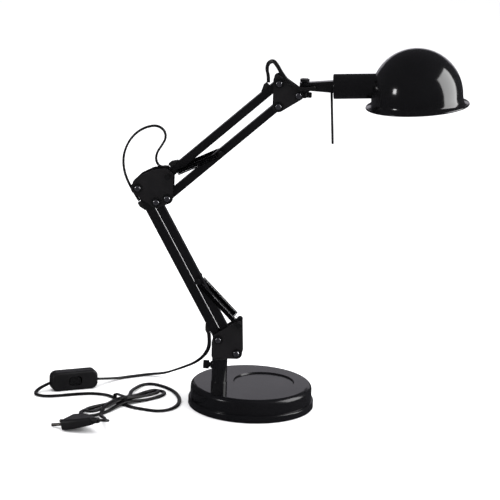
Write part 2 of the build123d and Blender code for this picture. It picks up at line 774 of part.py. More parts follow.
# ================= head: neck, socket, shade and handle =================
NECK_END = along(SOCKET_START, SOCKET_ANGLE, -0.6)
ROD = Vector(*place3(ROD_BOTTOM)) - Vector(*place3(ROD_TOP))
with BuildPart() as neck:
    with BuildSketch(Plane.XY.offset(NECK_BOTTOM)):
        with Locations((PAN_X, ARM_Y)):
            Circle(NECK_R)
    extrude(amount=NECK_EYE_TOP - NECK_BOTTOM)
    with BuildSketch(Plane(origin=(PAN_X, ARM_Y, 0), z_dir=(1, 0, 0), x_dir=(0, 1, 0))):
        with Locations((0, (NECK_BOTTOM + NECK_EYE_TOP) / 2)):
            RectangleRounded(2 * NECK_R - 0.4, NECK_EYE_TOP - NECK_BOTTOM - 0.02, 2.6)
    with BuildSketch(Plane(origin=place3(NECK_END), z_dir=heading(SOCKET_ANGLE), x_dir=(0, 1, 0))):
        RectangleRounded(15.6, 14.4, 3.6)
    loft()
    with BuildSketch(Plane.XY.offset(NECK_BOTTOM - 1)):
        with Locations((PAN_X, ARM_Y)):
            Circle(PAN_BOLT_R + FIT)
    extrude(amount=NECK_EYE_TOP - NECK_BOTTOM + 4, mode=Mode.SUBTRACT)
    with BuildSketch(Plane(origin=place3(ROD_TOP), z_dir=ROD)):
        Circle(ROD_R + FIT)
    extrude(amount=10, mode=Mode.SUBTRACT)
save(neck.part, "neck")


def socket_plane(s):
    return Plane(
        origin=place3(along(SOCKET_START, SOCKET_ANGLE, s)), z_dir=heading(SOCKET_ANGLE), x_dir=(0, 1, 0)
    )


with BuildPart() as socket_cup:
    with BuildSketch(socket_plane(-0.4)):
        Circle(SOCKET_R)
    extrude(amount=SOCKET_LEN)
    fillet(socket_cup.edges().group_by(Axis.X)[0], 1.5)
    with BuildSketch(socket_plane(1.0)):
        Circle(SOCKET_R - 1.1)
    extrude(amount=SOCKET_LEN + 2, mode=Mode.SUBTRACT)
save(socket_cup.part, "socket_cup")

with BuildPart() as lampholder:
    with BuildSketch(socket_plane(1.2)):
        Circle(LAMPHOLDER_R)
    extrude(amount=LAMPHOLDER_LEN)
    with BuildSketch(socket_plane(1.2 + LAMPHOLDER_LEN)):
        Circle(LAMP_THREAD_R + 1.2 + FIT)
    extrude(amount=-LAMP_THREAD_LEN - 6, mode=Mode.SUBTRACT)
save(lampholder.part, "lampholder")

LAMP_MOUTH = 1.2 + LAMPHOLDER_LEN
with BuildPart() as screw_shell:
    with BuildSketch(socket_plane(LAMP_MOUTH - 1.0)):
        Circle(LAMP_THREAD_R + 1.2)
        Circle(LAMP_THREAD_R, mode=Mode.SUBTRACT)
    extrude(amount=-LAMP_THREAD_LEN)
save(screw_shell.part, "screw_shell")

with BuildPart() as centre_contact:
    with BuildSketch(socket_plane(LAMP_MOUTH - LAMP_THREAD_LEN - 6)):
        Rectangle(6, 3)
    extrude(amount=4.0)
save(centre_contact.part, "centre_contact")

shade_c = math.cos(math.radians(SHADE_TILT))
shade_d = math.sin(math.radians(SHADE_TILT))
SHADE_AXIS = Axis(place3(SHADE_CENTRE), (-shade_d, 0, shade_c))


def shade_outline(inset):
    """The dome's outline from the flange up to its top, in by a wall's thickness."""
    return (
        (SHADE_FLANGE_R - inset * 0.2, 1.4 + inset * 0.7 - inset),
        (SHADE_R + 1.6 - inset, 4.6),
        (SHADE_R - inset, SHADE_HEIGHT - SHADE_R),
        ((SHADE_R - inset) * 0.7071, SHADE_HEIGHT - SHADE_R + (SHADE_R - inset) * 0.7071),
        (0.0, SHADE_HEIGHT - inset),
    )


with BuildPart() as shade:
    with BuildSketch(side(0, SHADE_CENTRE, SHADE_TILT)):
        with BuildLine():
            out = shade_outline(0.0)
            inn = shade_outline(SHADE_T)
            Spline(out[0], out[1], out[2], tangents=[(-1, 0.25), (0, 1)])
            ThreePointArc(out[2], out[3], out[4])
            Polyline(out[4], inn[4])
            ThreePointArc(inn[4], inn[3], inn[2])
            Spline(inn[2], inn[1], inn[0], tangents=[(0, -1), (1, -0.25)])
            Polyline(inn[0], out[0])
        make_face()
        with Locations((SHADE_FLANGE_R - 0.4, SHADE_BEAD_R - 0.2)):
            Circle(SHADE_BEAD_R)
    revolve(axis=SHADE_AXIS)
    with BuildSketch(socket_plane(SOCKET_LEN / 2)):
        Circle(SOCKET_R + FIT)
    extrude(amount=SOCKET_LEN, mode=Mode.SUBTRACT)
save(shade.part, "shade")

with BuildPart() as shade_ring:
    with BuildSketch(socket_plane(SOCKET_LEN + 2.0)):
        Circle(LAMPHOLDER_R + 4.6)
        Circle(LAMPHOLDER_R + FIT, mode=Mode.SUBTRACT)
    extrude(amount=4)
save(shade_ring.part, "shade_ring")

with BuildPart() as handle_rod:
    with BuildSketch(Plane(origin=place3(ROD_TOP), z_dir=ROD)):
        Circle(ROD_R)
    extrude(amount=ROD.length)
    fillet(handle_rod.edges().group_by(Axis.Z)[0], 1.2)
save(handle_rod.part, "handle_rod")

# ================= in-line switch =================
# It lies on one long edge, with its rocker towards the front.
switch_turn = math.radians(SWITCH_YAW)
SWITCH_ACROSS = Vector(math.cos(switch_turn), math.sin(switch_turn), 0)
SWITCH_OUT = Vector(math.sin(switch_turn), -math.cos(switch_turn), 0)
SWITCH_BACK = Vector(*SWITCH_AT, SWITCH_W / 2 + SWITCH_LIFT) - SWITCH_OUT * SWITCH_SPLIT
switch_plane = Plane(origin=SWITCH_BACK, x_dir=SWITCH_ACROSS, z_dir=SWITCH_OUT)
SWITCH_AXIS = Axis(SWITCH_BACK, SWITCH_OUT)
with BuildPart() as switch_base:
    with BuildSketch(switch_plane):
        RectangleRounded(SWITCH_L, SWITCH_W, SWITCH_CORNER)
    extrude(amount=SWITCH_SPLIT)
    chamfer(switch_base.edges().group_by(SWITCH_AXIS)[0], 0.8)
save(switch_base.part, "switch_base")

with BuildPart() as switch_cover:
    with BuildSketch(switch_plane.offset(SWITCH_SPLIT)):
        RectangleRounded(SWITCH_L, SWITCH_W, SWITCH_CORNER)
    extrude(amount=SWITCH_H - SWITCH_SPLIT)
    fillet(switch_cover.edges().group_by(SWITCH_AXIS)[-1], 3.0)
    with BuildSketch(switch_plane.offset(SWITCH_H + 1)):
        RectangleRounded(ROCKER_L + 2 * ROCKER_GAP, ROCKER_W + 2 * ROCKER_GAP, ROCKER_CORNER + ROCKER_GAP)
    extrude(amount=-SWITCH_H + SWITCH_SPLIT - 1, mode=Mode.SUBTRACT)
save(switch_cover.part, "switch_cover")

rocker_turn = math.radians(ROCKER_TILT)
rocker_plane = Plane(
    origin=SWITCH_BACK + SWITCH_OUT * (SWITCH_SPLIT + ROCKER_PIVOT),
    x_dir=SWITCH_ACROSS * math.cos(rocker_turn) + SWITCH_OUT * math.sin(rocker_turn),
    z_dir=(0, 0, -1),
)
rocker_top = Plane(origin=rocker_plane.origin, x_dir=rocker_plane.x_dir, z_dir=rocker_plane.y_dir)
with BuildPart() as switch_rocker:
    with BuildSketch(rocker_plane.offset(-ROCKER_W / 2)):
        with BuildLine():
            Polyline(
                (-ROCKER_L / 2, ROCKER_RISE),
                (-ROCKER_L / 2 + ROCKER_TAPER, -ROCKER_TAPER),
                (ROCKER_L / 2 - ROCKER_TAPER, -ROCKER_TAPER),
                (ROCKER_L / 2, ROCKER_RISE),
            )
            ThreePointArc((ROCKER_L / 2, ROCKER_RISE), (0, ROCKER_DISH), (-ROCKER_L / 2, ROCKER_RISE))
        make_face()
    extrude(amount=ROCKER_W)
    with BuildSketch(rocker_top):
        RectangleRounded(ROCKER_L - ROCKER_SWING, ROCKER_W, ROCKER_CORNER)
    extrude(amount=SWITCH_H, both=True, mode=Mode.INTERSECT)
    with BuildSketch(rocker_plane.offset(-ROCKER_W / 2 - TRUNNION)):
        Circle(TRUNNION_R)
    extrude(amount=ROCKER_W + 2 * TRUNNION)
save(switch_rocker.part, "switch_rocker")

# ================= plug =================
plug_level = math.cos(math.radians(PLUG_DIP))
plug_heading = Vector(
    math.cos(math.radians(PLUG_YAW)) * plug_level,
    math.sin(math.radians(PLUG_YAW)) * plug_level,
    -math.sin(math.radians(PLUG_DIP)),
)
plug_plane = Plane(
    origin=Vector(*PLUG_FACE) - plug_heading * PLUG_L,
    x_dir=(-plug_heading.Y, plug_heading.X, 0),
    z_dir=plug_heading,
)
with BuildPart() as plug_body:
    with BuildSketch(plug_plane):
        RectangleRounded(13, 9.4, 4)
    with BuildSketch(plug_plane.offset(PLUG_L * 0.55)):
        RectangleRounded(PLUG_W * 0.86, PLUG_H - 1.0, 4)
    with BuildSketch(plug_plane.offset(PLUG_L)):
        RectangleRounded(PLUG_W, PLUG_H, 4)
    loft()
    with BuildSketch(plug_plane.offset(-PLUG_RELIEF_L)):
        RectangleRounded(8.4, 7.0, 3)
    extrude(amount=PLUG_RELIEF_L)
    with BuildSketch(plug_plane.offset(PLUG_L - 8)):
        with Locations((-PLUG_PIN_PITCH / 2, 0), (PLUG_PIN_PITCH / 2, 0)):
            Circle(PLUG_PIN_R - 0.15)
    extrude(amount=10, mode=Mode.SUBTRACT)
save(plug_body.part, "plug_body")

with BuildPart() as plug_pins:
    with BuildSketch(plug_plane.offset(PLUG_L)):
        with Locations((-PLUG_PIN_PITCH / 2, 0), (PLUG_PIN_PITCH / 2, 0)):
            Circle(PLUG_PIN_R)
    extrude(amount=PLUG_PIN_L)
    with BuildSketch(plug_plane.offset(PLUG_L)):
        with Locations((-PLUG_PIN_PITCH / 2, 0), (PLUG_PIN_PITCH / 2, 0)):
            Circle(PLUG_PIN_R - 0.2)
    extrude(amount=-7)
save(plug_pins.part, "plug_pins")


# ================= cord =================
def arc_radii(points):
    """For each corner, 0.45 of its shorter run over the tangent of half its turn."""
    radii = []
    for before, corner, after in zip(points, points[1:], points[2:]):
        run_in = Vector(*corner) - Vector(*before)
        run_out = Vector(*after) - Vector(*corner)
        half_turn = math.radians(run_in.get_angle(run_out)) / 2
        radii.append(0.45 * min(run_in.length, run_out.length) / math.tan(half_turn))
    return radii


def cord_tube(name, *routes):
    """Round tubes along straight runs joined by arcs, one for each stretch of the route."""
    with BuildPart() as tube:
        length = 0.0
        for points in routes:
            radii = arc_radii(points)
            with BuildLine() as route:
                FilletPolyline(*points, radius=radii)
            wire = route.wire()
            with BuildSketch(Plane(origin=wire @ 0, z_dir=wire % 0)):
                Circle(CORD_R)
            sweep(path=wire)
            length += wire.length
            print(f"{name}: stretch {wire.length:.1f} mm, smallest radius {min(radii):.1f} mm")
    whole = math.pi * CORD_R**2 * length
    print(f"{name}: volume over section times length {tube.part.volume / whole:.4f}")
    save(tube.part, name)


inner_cord("lower_inner_cord", LOWER_A, LOWER_ANGLE, LOWER_SLOTS)
inner_cord("upper_inner_cord", UPPER_F, UPPER_ANGLE, UPPER_SLOTS)
cord_tube("cord_drop", ROUTE_DROP)
cord_tube("cord_elbow", ROUTE_ELBOW)
cord_tube("cord_head", ROUTE_HEAD)
cord_tube("cord_floor", ROUTE_FLOOR, ROUTE_LOOP)
cord_tube("cord_tail", ROUTE_TAIL)

with BuildPart() as cord_hank:
    for end in HANK_ENDS:
        with BuildSketch(Plane.XY.offset(HANK_BOTTOM)):
            with Locations(end):
                Circle(HANK_END_R)
            with Locations(HANK_TIE):
                Circle(HANK_WAIST_R)
            make_hull()
        extrude(amount=HANK_H)
save(cord_hank.part, "cord_hank")

hank_run = Vector(*HANK_ENDS[1]) - Vector(*HANK_ENDS[0])
hank_tie_plane = Plane(
    origin=(*HANK_TIE, HANK_BOTTOM + HANK_H / 2), x_dir=(-hank_run.Y, hank_run.X, 0), z_dir=hank_run
)
TIE_INNER = (2 * HANK_WAIST_R + 3.2, HANK_H + 0.1)
with BuildPart() as hank_tie:
    with BuildSketch(hank_tie_plane.offset(-TIE_W / 2)):
        RectangleRounded(TIE_INNER[0] + 2 * TIE_T, TIE_INNER[1] + 2 * TIE_T, 1.0)
        RectangleRounded(*TIE_INNER, 0.4, mode=Mode.SUBTRACT)
    extrude(amount=TIE_W)
save(hank_tie.part, "hank_tie")
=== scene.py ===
"""The looks of a swing arm desk lamp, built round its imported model, in metres and in its frame."""

import math

import bpy
from mathutils import Matrix, Vector


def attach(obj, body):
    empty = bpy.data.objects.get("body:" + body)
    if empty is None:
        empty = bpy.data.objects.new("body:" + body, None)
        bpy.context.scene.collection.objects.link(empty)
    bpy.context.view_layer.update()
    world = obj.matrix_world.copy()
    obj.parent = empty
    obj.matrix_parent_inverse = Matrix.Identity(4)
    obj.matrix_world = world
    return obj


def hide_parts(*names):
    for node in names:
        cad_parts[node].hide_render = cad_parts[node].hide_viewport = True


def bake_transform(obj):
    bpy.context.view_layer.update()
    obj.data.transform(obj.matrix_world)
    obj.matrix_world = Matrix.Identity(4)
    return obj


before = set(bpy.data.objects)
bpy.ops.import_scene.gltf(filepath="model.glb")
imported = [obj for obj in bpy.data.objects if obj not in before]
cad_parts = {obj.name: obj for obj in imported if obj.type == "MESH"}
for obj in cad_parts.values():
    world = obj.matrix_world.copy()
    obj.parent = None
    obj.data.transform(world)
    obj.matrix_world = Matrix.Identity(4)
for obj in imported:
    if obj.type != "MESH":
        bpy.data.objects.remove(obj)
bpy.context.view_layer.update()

MM = 0.001
ARM_Y = -51.3  # the plane of the arms, in millimetres

# Where the cord runs, in millimetres: control points of smooth lines, along the CAD cord's own routes
ROUTE_DROP = [
    (-52.9, -51.3, 107.6),
    (-51.8, -51.2, 98.5),
    (-52.2, -49.0, 88.0),
    (-56.5, -40.5, 77.0),
    (-64.0, -24.0, 64.5),
    (-74.5, 3.0, 49.5),
    (-89.0, 36.0, 33.5),
    (-105.5, 68.0, 17.5),
    (-120.0, 89.0, 6.0),
    (-141.0, 94.0, 2.0),
    (-163.0, 80.5, 2.0),
    (-184.0, 66.0, 2.2),
    (-202.5, 36.3, 10.5),
]
ROUTE_ELBOW = [
    (-144.4, ARM_Y, 273.2),
    (-151.0, ARM_Y, 283.5),
    (-159.0, ARM_Y, 296.5),
    (-164.6, ARM_Y, 312.0),
    (-165.6, ARM_Y, 329.0),
    (-160.5, ARM_Y, 345.5),
    (-150.5, ARM_Y, 359.0),
    (-137.5, ARM_Y, 367.0),
    (-124.5, ARM_Y, 369.5),
    (-115.0, ARM_Y, 363.5),
    (-113.2, ARM_Y, 353.5),
    (-118.5, ARM_Y, 344.0),
    (-124.5, ARM_Y, 334.5),
    (-125.0, ARM_Y, 323.5),
    (-118.0, ARM_Y, 316.0),
    (-108.8, ARM_Y, 318.4),
]
ROUTE_HEAD = [
    (9.9, -51.8, 429.6),
    (9.8, -52.3, 437.5),
    (7.4, -54.5, 446.0),
    (9.0, -58.0, 454.5),
    (15.5, -61.5, 458.5),
    (21.0, -64.0, 452.5),
    (25.8, -65.0, 444.5),
    (32.5, -65.0, 435.8),
    (41.0, -65.0, 428.6),
    (51.0, -64.8, 425.0),
    (60.5, -63.2, 425.3),
    (67.8, -60.4, 427.2),
]
ROUTE_FLOOR = [
    (-260.4, 8.0, 10.5),
    (-268.5, 3.5, 7.5),
    (-276.5, -4.5, 3.0),
    (-275.0, -16.5, 2.0),
    (-262.0, -20.5, 2.0),
    (-245.0, -15.0, 2.0),
    (-226.0, -5.5, 2.0),
    (-206.0, 1.5, 2.0),
    (-189.0, 0.5, 2.0),
    (-177.5, -7.0, 2.0),
    (-171.0, -18.0, 2.0),
]
ROUTE_LOOP = [
    (-156.5, -39.0, 2.0),
    (-145.5, -46.5, 2.0),
    (-131.0, -51.5, 2.0),
    (-114.0, -56.0, 2.0),
    (-99.5, -47.5, 2.0),
    (-91.5, -30.0, 2.0),
    (-90.0, -9.0, 2.0),
    (-94.5, 12.0, 2.0),
    (-103.5, 31.5, 2.0),
    (-117.0, 46.5, 2.0),
    (-133.5, 55.5, 2.0),
    (-145.0, 47.5, 2.2),
    (-151.0, 31.0, 3.0),
    (-155.5, 11.0, 4.5),
]
ROUTE_TAIL = [
    (-176.0, -104.5, 6.0),
    (-174.5, -114.5, 8.0),
    (-172.8, -125.0, 10.5),
    (-169.8, -134.5, 13.3),
    (-167.0, -143.5, 16.2),
    (-167.8, -150.2, 18.2),
    (-172.0, -152.4, 18.9),
    (-177.2, -149.5, 18.0),
]

# The hank: how far along it, how far to its left, and how high, from the middle of its first end
HANK_ENDS = Vector((-197.0, -75.0, 0)), Vector((-124.0, 16.0, 0))
HANK_FOLDS = [
    (82.0, 12.0, 3.2),
    (68.0, 7.5, 4.4),
    (54.5, 5.4, 5.2),
    (38.0, 8.0, 3.0),
    (20.0, 11.5, 1.9),
    (2.0, 12.6, 1.9),
    (-10.5, 8.5, 1.9),
    (-13.5, -1.0, 1.9),
    (-9.0, -10.0, 1.9),
    (4.0, -12.6, 1.9),
    (22.0, -10.5, 1.9),
    (39.0, -7.0, 3.2),
    (54.5, -5.4, 5.2),
    (70.0, -7.5, 3.4),
    (88.0, -11.5, 1.9),
    (108.0, -13.4, 1.9),
    (123.0, -10.5, 1.9),
    (130.0, -1.5, 1.9),
    (126.0, 8.0, 1.9),
    (112.0, 11.0, 1.9),
    (95.0, 6.5, 1.9),
    (74.0, 1.6, 3.6),
    (54.5, 0.0, 5.2),
    (38.0, 2.5, 5.0),
    (20.0, 6.0, 5.2),
    (5.0, 7.6, 5.2),
    (-5.0, 4.5, 5.3),
    (-7.0, -2.5, 5.3),
    (0.0, -7.4, 5.2),
    (18.0, -5.5, 5.2),
    (38.0, -3.0, 7.4),
    (54.5, -2.7, 8.5),
    (70.0, -3.4, 7.0),
    (92.0, -6.4, 5.0),
    (110.0, -7.6, 4.9),
    (120.5, -3.0, 5.0),
    (119.0, 4.0, 5.1),
    (106.0, 6.0, 5.1),
    (88.0, 3.4, 5.2),
    (70.0, 3.0, 7.0),
    (54.5, 2.7, 8.5),
    (38.0, 0.0, 8.6),
    (20.0, -6.0, 8.4),
    (6.0, -14.5, 6.4),
    (-5.0, -23.0, 4.6),
]

CORD_WIDTH = 5.0 * MM
CORD_THICKNESS = 2.8 * MM

# Springs, in millimetres: the two cross pins of each pair, and what its hooks take up
SPRING_Y = 13.9
SPRING_RADIUS = 3.25
SPRING_WIRE = 0.45
SPRING_PITCH = 1.06
PIN_RADIUS = 2.0
HOOK = 6.0
HOOK_START, HOOK_STEP, HOOK_POINTS = 40, 20, 17  # degrees round the pin, and how many points
COIL_STEPS = 14
LOWER_SPRING = (-68.02, 177.04), (-15.2, 123.4), 8.0
UPPER_SPRING = (-43.49, 340.24), (-109.0, 308.2), 14.0


def metres(points):
    """Points given in millimetres, in metres."""
    return [Vector(point) * MM for point in points]


# ---------------------------------------------------------------- materials


def material(name, colour, roughness, **settings):
    """A material with fine unevenness in its colour, gloss and surface.

    Its settings are the shader's own sockets, with _ for a space.
    """
    made = bpy.data.materials.new(name)
    made.use_nodes = True
    nodes, links = made.node_tree.nodes, made.node_tree.links
    shader = nodes["Principled BSDF"]
    grain = settings.pop("grain", 900)
    blotch = settings.pop("blotch", 25)
    bump = settings.pop("bump", 0.1)
    relief = settings.pop("relief", 0.05) * MM
    spread = settings.pop("spread", 0.08)
    tint = settings.pop("tint", 1.35)
    for socket, value in settings.items():
        shader.inputs[socket.replace("_", " ")].default_value = value

    place = nodes.new("ShaderNodeTexCoord")
    fine = nodes.new("ShaderNodeTexNoise")
    fine.inputs["Scale"].default_value = grain
    fine.inputs["Detail"].default_value = 4
    links.new(place.outputs["Object"], fine.inputs["Vector"])
    broad = nodes.new("ShaderNodeTexNoise")
    broad.inputs["Scale"].default_value = blotch
    broad.inputs["Detail"].default_value = 3
    links.new(place.outputs["Object"], broad.inputs["Vector"])

    shade = nodes.new("ShaderNodeValToRGB")
    shade.color_ramp.elements[0].position = 0.3
    shade.color_ramp.elements[0].color = (*colour, 1)
    shade.color_ramp.elements[1].position = 0.7
    shade.color_ramp.elements[1].color = (*[min(1, part * tint) for part in colour], 1)
    links.new(broad.outputs["Fac"], shade.inputs["Fac"])
    links.new(shade.outputs["Color"], shader.inputs["Base Color"])

    gloss = nodes.new("ShaderNodeMapRange")
    gloss.inputs["To Min"].default_value = max(0.02, roughness - spread)
    gloss.inputs["To Max"].default_value = min(1, roughness + spread)
    links.new(broad.outputs["Fac"], gloss.inputs["Value"])
    links.new(gloss.outputs["Result"], shader.inputs["Roughness"])

    surface = nodes.new("ShaderNodeBump")
    surface.inputs["Strength"].default_value = bump
    surface.inputs["Distance"].default_value = relief
    links.new(fine.outputs["Fac"], surface.inputs["Height"])
    links.new(surface.outputs["Normal"], shader.inputs["Normal"])
    return made


GLOSS_PAINT = material(
    "gloss_paint", (0.0025, 0.0025, 0.0028), 0.14, grain=320, blotch=30, bump=0.12, spread=0.04,
    Coat_Weight=0.5, Coat_Roughness=0.06,
)
SATIN_PAINT = material(
    "satin_paint", (0.003, 0.0028, 0.0034), 0.3, grain=1500, blotch=40, bump=0.3, spread=0.07
)
BASE_PAINT = material(
    "base_paint", (0.003, 0.003, 0.0036), 0.2, grain=1100, blotch=18, bump=0.25, spread=0.05
)
PLATE_PAINT = material(
    "plate_paint", (0.006, 0.0052, 0.0062), 0.45, grain=2200, blotch=60, bump=0.45, spread=0.07
)
BLACK_STEEL = material(
    "black_steel", (0.012, 0.012, 0.013), 0.34, grain=1800, blotch=300, bump=0.3, Metallic=0.7
)
ZINC = material(
    "zinc", (0.5, 0.5, 0.52), 0.26, grain=2500, blotch=500, bump=0.3, Metallic=1.0, tint=1.3
)
SPRING_STEEL = material(
    "spring_steel", (0.02, 0.02, 0.022), 0.28, grain=2500, blotch=400, bump=0.2, Metallic=1.0
)
CASE_PLASTIC = material(
    "case_plastic", (0.005, 0.0047, 0.0056), 0.45, grain=2600, blotch=80, bump=0.8, relief=0.09
)
ROCKER_PLASTIC = material(
    "rocker_plastic", (0.004, 0.004, 0.0043), 0.2, grain=500, blotch=80, bump=0.1, spread=0.04
)
BUSH_PLASTIC = material("bush_plastic", (0.008, 0.008, 0.009), 0.4, grain=1500, blotch=120, bump=0.2)
RUBBER = material("rubber", (0.006, 0.006, 0.006), 0.5, grain=1800, blotch=150, bump=0.5)
CORD_SKIN = material(
    "cord_skin", (0.004, 0.0039, 0.0043), 0.34, grain=1400, blotch=70, bump=0.3, spread=0.08
)
PIN_METAL = material(
    "pin_metal", (0.62, 0.58, 0.52), 0.22, grain=2000, blotch=300, bump=0.2, Metallic=1.0, tint=1.2
)
BRASS = material(
    "brass", (0.62, 0.42, 0.16), 0.28, grain=1600, blotch=200, bump=0.3, Metallic=1.0, tint=1.2
)
PAD_FOAM = material("pad_foam", (0.02, 0.02, 0.021), 0.85, grain=1200, blotch=100, bump=0.9)
IRON = material("cast_iron", (0.05, 0.045, 0.04), 0.7, grain=700, blotch=60, bump=0.9, relief=0.2)

FINISHES = {
    GLOSS_PAINT: ["shade", "shade_ring", "socket_cup", "neck", "post_tube", "post_collar"],
    BASE_PAINT: ["base_shell", "base_ring"],
    SATIN_PAINT: [
        "lower_tube_left", "lower_tube_right", "upper_tube_low", "upper_tube_top", "knuckle", "handle_rod",
        "thumb_screw", "wing_nut",
    ],
    PLATE_PAINT: ["lower_bracket", "elbow_plates", "head_plates"],
    BLACK_STEEL: [
        "lower_washers", "elbow_washers", "head_washers", "bracket_spring_pin", "lower_spring_pin",
        "upper_spring_pin", "elbow_rivet", "pan_bolt",
    ],
    ZINC: [
        "lower_bolts", "lower_nuts", "elbow_bolts", "elbow_nuts", "head_bolts", "head_nuts", "post_nut",
        "pivot_pin",
    ],
    CASE_PLASTIC: ["switch_base", "switch_cover", "lampholder", "plug_body", "hank_tie"],
    ROCKER_PLASTIC: ["switch_rocker"],
    BUSH_PLASTIC: ["pivot_bush"],
    RUBBER: ["lower_grommets", "upper_grommets"],
    CORD_SKIN: ["lower_inner_cord", "upper_inner_cord"],
    BRASS: ["screw_shell", "centre_contact"],
    PIN_METAL: ["plug_pins"],
    PAD_FOAM: ["base_pad"],
    IRON: ["base_ballast"],
}


def dress(piece, finish):
    """Gives a piece one material, in place of any that it has."""
    piece.data.materials.clear()
    piece.data.materials.append(finish)
    return piece


for finish, names in FINISHES.items():
    for name in names:
        dress(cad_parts[name], finish)


# ---------------------------------------------------------------- lines and sweeps


def smooth_line(points, steps=10):
    """The smooth line of a route's control points, as points close together."""
    curve = bpy.data.curves.new("route", "CURVE")
    curve.dimensions = "3D"
    curve.resolution_u = steps
    spline = curve.splines.new("NURBS")
    spline.points.add(len(points) - 1)
    for place, point in zip(spline.points, points):
        place.co = (*point, 1)
    spline.order_u = 3
    spline.use_endpoint_u = True
    guide = bpy.data.objects.new("route", curve)
    bpy.context.collection.objects.link(guide)
    mesh = bpy.data.meshes.new_from_object(guide)
    line = [vertex.co.copy() for vertex in mesh.vertices]
    bpy.data.objects.remove(guide)
    bpy.data.meshes.remove(mesh)
    return line


def length_of(line):
    return sum((b - a).length for a, b in zip(line, line[1:]))


def cut(line, start, end):
    """The stretch of a line from start to end, which are shares of its length."""
    whole = length_of(line)
    stretch, done = [], 0
    for a, b in zip(line, line[1:]):
        step = (b - a).length
        for mark in (start * whole, end * whole):
            if done <= mark <= done + step and step > 0:
                stretch.append(a.lerp(b, (mark - done) / step))
        done += step
        if start * whole < done < end * whole:
            stretch.append(b.copy())
    return [point for i, point in enumerate(stretch) if i == 0 or (point - stretch[i - 1]).length > 1e-6]


def settled(line, up, settle):
    """The direction of a flat section at each point: up at the end, carried back without twist.

    Where the line is level, it turns flat to the ground at the rate settle."""
    last = len(line) - 1
    tangents = [(line[min(i + 1, last)] - line[max(i - 1, 0)]).normalized() for i in range(len(line))]
    normal = Vector(up)
    normals = []
    for i in reversed(range(len(line))):
        if i + 1 < len(line):
            normal = tangents[i + 1].rotation_difference(tangents[i]) @ normal
        level = 1 - abs(tangents[i].z)
        normal = normal.lerp(Vector((0, 0, 1)), settle * level)
        normal = (normal - tangents[i] * normal.dot(tangents[i])).normalized()
        normals.append(normal.copy())
    return tangents, normals[::-1]


def sweep(name, line, section, up=(0, 0, 1), settle=0.0):
    """A closed tube: section, a list of (across, above), carried along the line."""
    tangents, normals = settled(line, up, settle)
    points, faces = [], []
    count = len(section)
    for place, tangent, normal in zip(line, tangents, normals):
        across = tangent.cross(normal)
        points += [place + across * x + normal * z for x, z in section]
    for ring in range(len(line) - 1):
        for i in range(count):
            j = (i + 1) % count
            a, b = ring * count, (ring + 1) * count
            faces.append((a + i, b + i, b + j, a + j))
    faces.append(tuple(range(count)))
    faces.append(tuple(reversed(range(len(points) - count, len(points)))))
    return mesh_piece(name, points, faces)


def mesh_piece(name, points, faces, smooth=True):
    mesh = bpy.data.meshes.new(name)
    mesh.from_pydata([tuple(point) for point in points], [], faces)
    mesh.update()
    if smooth:
        mesh.shade_smooth()
    piece = bpy.data.objects.new(name, mesh)
    bpy.context.collection.objects.link(piece)
    return piece


def flat_oval(width, thickness, count=20):
    """The section of a flat two-core cord: two round edges with flats between."""
    edge = thickness / 2
    return [
        (math.copysign(width / 2 - edge, math.cos(turn)) + edge * math.cos(turn), edge * math.sin(turn))
        for turn in [math.tau * (i + 0.5) / count for i in range(count)]
    ]


def circle(radius, count=8):
    turns = [math.tau * i / count for i in range(count)]
    return [(radius * math.cos(turn), radius * math.sin(turn)) for turn in turns]


# ---------------------------------------------------------------- cords

CORD_SECTION = flat_oval(CORD_WIDTH, CORD_THICKNESS)


def cord_stretch(name, line, node, bodies, up=(0, 0, 1), settle=0.0):
    """One stretch of the flat cord. Where it has one body, it is attached to that body; where it has two, it
    is left where it lies, attached to neither.
    """
    piece = dress(sweep(name, line, CORD_SECTION, up, settle), CORD_SKIN)
    if len(bodies) == 2:
        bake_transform(piece)
    else:
        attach(piece, bodies[0])
    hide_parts(*node)
    return piece


AT_BRACKET = 0.125  # the share of the drop, from its top, made as a stretch of its own at the bracket
drop = smooth_line(metres(ROUTE_DROP))
cord_stretch("cord_at_bracket", cut(drop, 0, AT_BRACKET), ["cord_drop"], ["lower_left", "turret"],
             up=(0, 1, 0))
cord_stretch("mains_cord_drop", cut(drop, AT_BRACKET, 1), ["cord_drop"], ["turret", "base"],
             settle=0.12)

elbow = smooth_line(metres(ROUTE_ELBOW))
cord_stretch("cord_elbow_rise", cut(elbow, 0, 0.5), ["cord_elbow"], ["lower_left", "elbow"])
cord_stretch("cord_elbow_fall", cut(elbow, 0.5, 1), ["cord_elbow"], ["elbow", "upper_top"])

head = smooth_line(metres(ROUTE_HEAD))
cord_stretch("cord_head_rise", cut(head, 0, 1 / 3), ["cord_head"], ["upper_top", "head_bracket"],
             up=(0, 1, 0))
cord_stretch("cord_head_over", cut(head, 1 / 3, 2 / 3), ["cord_head"], ["head_bracket", "knuckle"],
             up=(0, 1, 0))
cord_stretch("cord_head_entry", cut(head, 2 / 3, 1), ["cord_head"], ["knuckle", "head"], up=(0, 1, 0))

hank_along = (HANK_ENDS[1] - HANK_ENDS[0]).normalized()
hank_left = Vector((-hank_along.y, hank_along.x, 0))
hank = [
    HANK_ENDS[0] + hank_along * along + hank_left * left + Vector((0, 0, height))
    for along, left, height in HANK_FOLDS
]
floor_line = smooth_line(metres(ROUTE_FLOOR + ROUTE_LOOP) + metres(hank) + metres(ROUTE_TAIL))
cord_stretch(
    "mains_cord_floor", floor_line, ["cord_floor", "cord_hank", "cord_tail"], ["base"],
    settle=0.25,
)


# ---------------------------------------------------------------- springs


